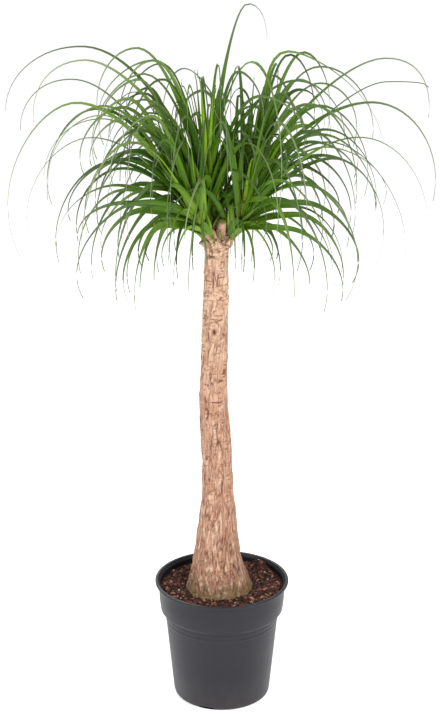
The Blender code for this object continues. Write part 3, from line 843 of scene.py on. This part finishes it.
# Shorter leaves that close the crown at the front, listed as the long ones are
SKIRT_LEAVES = (
    ("left", 0.10, (-0.060, -0.055, 0.905), (-0.074, -0.085, 0.815), 0.3, 0.0125),
    ("left", 0.16, (-0.042, -0.062, 0.922), (-0.048, -0.095, 0.832), 0.4, 0.0135),
    ("front", 0.16, (-0.034, -0.068, 0.905), (-0.027, -0.092, 0.842), 0.5, 0.0115),
    ("front", 0.34, (-0.030, -0.075, 0.935), (-0.033, -0.110, 0.858), 0.2, 0.0140),
    ("front", 0.42, (-0.064, -0.078, 0.930), (-0.084, -0.110, 0.845), 0.4, 0.0130),
    ("right", 0.10, (0.030, -0.055, 0.908), (0.036, -0.082, 0.826), 0.4, 0.0125),
    ("right", 0.22, (0.016, -0.070, 0.938), (0.022, -0.100, 0.835), 0.1, 0.0135),
    ("right", 0.14, (0.052, -0.048, 0.902), (0.080, -0.072, 0.842), 0.7, 0.0120),
    ("right", 0.08, (0.060, -0.030, 0.892), (0.092, -0.045, 0.838), 0.4, 0.0120),
    ("left", 0.06, (-0.072, -0.035, 0.890), (-0.098, -0.050, 0.826), 0.4, 0.0120),
    ("left", 0.12, (-0.088, -0.045, 0.900), (-0.122, -0.065, 0.840), 0.7, 0.0120),
    ("centre", 0.30, (0.006, -0.072, 0.955), (0.014, -0.105, 0.862), 0.2, 0.0130),
    ("back", 0.35, (0.045, 0.000, 1.060), (0.078, -0.020, 0.990), 0.2, 0.0140),
    ("centre", 0.40, (0.030, -0.020, 1.050), (0.058, -0.050, 0.965), 0.2, 0.0150),
    ("back", 0.45, (0.028, 0.020, 1.105), (0.050, 0.000, 1.030), 0.2, 0.0150),
    ("right", 0.55, (0.040, -0.030, 1.045), (0.056, -0.065, 0.965), 0.2, 0.0140),
    ("left", 0.60, (-0.075, -0.040, 1.060), (-0.110, -0.080, 0.985), 0.2, 0.0150),
)
# How far some of the long leaves have turned their face, in degrees
TWISTS = {"leaf_long_00": 82, "leaf_long_02": -62, "leaf_long_05": 70, "leaf_long_18": 48,
          "leaf_long_20": 60}


def blade(leaf, age, shade):
    """One leaf: a strip laid along its midrib, folded along the middle and turned about it, then made solid.
    A short leaf stays wide and green for more of its length than a long one."""
    chance = Random(leaf.name)
    twist = radians(TWISTS.get(leaf.name, chance.choice((-1, 1)) * chance.uniform(25, 80)))
    last_twist = radians(chance.uniform(-50, 50))
    fold = chance.uniform(0.18, 0.34)
    line = midrib(leaf, BLADE_STEPS)
    length = (line[1] - line[0]).length * BLADE_STEPS
    short = clamped((LONG_LEAF - length) / (LONG_LEAF - SHORT_LEAF))
    work = bmesh.new()
    blade_map = work.loops.layers.uv.new("blade")
    made = bmesh.ops.create_grid(work, x_segments=4, y_segments=BLADE_STEPS, size=1, calc_uvs=True)
    for face in work.faces:
        for loop in face.loops:
            loop[blade_map].uv.y *= 1 - 0.35 * short
    for vert in made["verts"]:
        across, s = vert.co.x, (vert.co.y + 1) / 2
        k = round(s * BLADE_STEPS)
        run = (line[min(BLADE_STEPS, k + 1)] - line[max(0, k - 1)]).normalized()
        flat = Vector((run.y, -run.x, 0)).normalized()
        turn = twist * min(1.0, s / 0.3) + last_twist * s
        wide = Matrix.Rotation(turn, 3, run) @ flat
        upper = wide.cross(run)
        clasp = max(0.0, 1 - s / 0.09)
        half = blade_width(leaf, s) / 2 * min(1.0, 0.35 + s / 0.05)
        half *= 1 - 0.4 * s * (1 - short) + 1.7 * s * (1 - s) * short
        cup = (abs(across) - 0.5) * half * fold * 2 + clasp * (across * half) ** 2 / 0.024
        vert.co = line[k] + wide * across * half + upper * cup
    upper_side = set(work.verts)
    bmesh.ops.solidify(work, geom=work.faces[:], thickness=BLADE_THICKNESS)
    ages = work.verts.layers.float.new("age")
    shades = work.verts.layers.float.new("shade")
    backs = work.verts.layers.float.new("back")
    for vert in work.verts:
        vert[ages], vert[shades] = age, shade
        vert[backs] = 0 if vert in upper_side else 1
    return work


def make_leaves(skin):
    """Each leaf that has a solid is a piece of its own; the others are grouped by shoot and by age."""
    groups = {}
    skirt = [Leaf("leaf_skirt_%02d" % k, *values) for k, values in enumerate(SKIRT_LEAVES)]
    for leaf in leaf_plan() + skirt:
        if leaf.crest[2] > CROWN_TOP and "long" not in leaf.name:
            continue
        chance = Random("look " + leaf.name)
        grown = 1.15 - 1.2 * max(0.0, leaf.share - 0.6)
        age = clamped(grown + chance.uniform(-0.3, 0.1))
        work = blade(leaf, age, chance.random())
        if leaf.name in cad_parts:
            finish_piece(leaf.name.replace("leaf_", "frond_"), work, skin, "leaf", leaf.name)
            continue
        tier = "young" if leaf.share > 0.55 else "old"
        groups.setdefault("fronds_%s_%s" % (leaf.shoot, tier), []).append(work)
    for name, works in groups.items():
        finish_piece(name, joined(works), skin, "leaf")


# The young upright leaves that show at the front, listed as the long ones are. They get the freshest colour
# and the brightest shade: young lime leaves, with a painted glow of light shining through them.
FRONT_SPEARS = (
    ("centre", 0.62, (-0.037, -0.084, 1.150), (-0.039, -0.090, 1.165), 0, 0.0150),
    ("centre", 0.72, (-0.014, -0.070, 1.120), (-0.013, -0.076, 1.135), 0, 0.0130),
    ("right", 0.66, (0.052, -0.046, 1.010), (0.061, -0.052, 1.030), 0, 0.0110),
    ("right", 0.55, (0.018, -0.030, 1.030), (0.019, -0.033, 1.050), 0, 0.0150),
    ("centre", 0.40, (0.022, -0.020, 1.040), (0.026, -0.020, 1.055), 0, 0.0150),
    ("left", 0.66, (-0.100, -0.050, 1.020), (-0.110, -0.056, 1.035), 0, 0.0110),
)
HEART_SHARE = 0.80  # how far up its shoot a heart springs
HEART_LEAVES = 9


def make_hearts(skin):
    """The youngest leaves of each shoot stand nearly upright, a little towards the front, and are pale. Their
    age and shade are drawn so that they come out darker than fresh leaves: painted shade, for the deep shade
    in the middle of the crown.
    """
    for name, shoot in SHOOTS.items():
        chance = Random("heart " + name)
        works = []
        top = Vector(shoot.foot) + axis_of(shoot) * shoot.height * HEART_SHARE
        for k in range(HEART_LEAVES):
            aim = axis_of(shoot) * 0.8 + Vector((0, -0.30, 1)) + direction(k * GOLDEN_ANGLE, 0) * 0.30
            length = chance.uniform(0.10, 0.20)
            end = top + aim.normalized() * length
            width = chance.uniform(0.010, 0.0135)
            spear = Leaf("heart_%s_%d" % (name, k), name, HEART_SHARE, top.lerp(end, 0.94), end, 0, width)
            # Painted shade: age and shade are drawn to darken the hearts, because the middle of the crown
            # lies in deep shade.
            age, shade = chance.uniform(0.0, 0.45), chance.uniform(0.1, 0.8)
            works.append(blade(spear, age, shade))
        for k, values in enumerate(FRONT_SPEARS):
            if values[0] == name:
                # Painted light: each front spear is fresh and at its brightest shade, a painted glow of light
                # through the leaf.
                works.append(blade(Leaf("spear_%d" % k, *values), 0, 1))
        finish_piece("heart_" + name, joined(works), skin, "young_leaf", "bud_" + name)


# The studio

CAMERA_PLACE = (-0.0033, -2.93, 1.62)
CAMERA_DOWN = 18.35  # degrees below the level
CAMERA_LENS = 89.2


def make_studio():
    scene = bpy.context.scene
    work = bmesh.new()
    bmesh.ops.create_circle(work, cap_ends=True, segments=96, radius=40)
    mesh = bpy.data.meshes.new("floor")
    work.to_mesh(mesh)
    work.free()
    mesh.materials.append(pale_floor())
    floor = bpy.data.objects.new("floor", mesh)
    scene.collection.objects.link(floor)
    world = bpy.data.worlds.new("studio")
    world.use_nodes = True
    sky = world.node_tree.nodes["Background"]
    sky.inputs["Color"].default_value = (1, 1, 1, 1)
    sky.inputs["Strength"].default_value = 0.52
    scene.world = world
    softbox("key", (1.7, -2.2, 2.7), 1.4, 72)
    softbox("fill", (-2.3, -1.7, 1.9), 1.5, 36)
    softbox("back", (-0.6, 2.4, 2.4), 1.2, 34)
    scene.view_settings.view_transform = "Standard"


def softbox(name, place, size, power):
    light = bpy.data.lights.new(name, "AREA")
    light.size = size
    light.energy = power
    box = bpy.data.objects.new(name, light)
    box.location = place
    box.rotation_euler = (Vector((0, 0, 0.75)) - Vector(place)).to_track_quat("-Z", "Y").to_euler()
    bpy.context.scene.collection.objects.link(box)


def make_camera():
    lens = bpy.data.cameras.new("camera")
    lens.sensor_fit = "VERTICAL"
    lens.sensor_height = 36
    lens.lens = CAMERA_LENS
    camera = bpy.data.objects.new("camera", lens)
    camera.location = CAMERA_PLACE
    camera.rotation_euler = (radians(90 - CAMERA_DOWN), 0, 0)
    bpy.context.scene.collection.objects.link(camera)
    bpy.context.scene.camera = camera


make_camera()
make_studio()
make_pot()
make_soil()
make_chips()
bark_finish = bark()
make_trunk(bark_finish)
for shoot_name, shoot_values in SHOOTS.items():
    make_stem(shoot_name, shoot_values, bark_finish)
make_stem("stump", STUMP, bark_finish)
make_stubs(bark_finish)
skin_finish = leaf_skin()
make_leaves(skin_finish)
make_hearts(skin_finish)
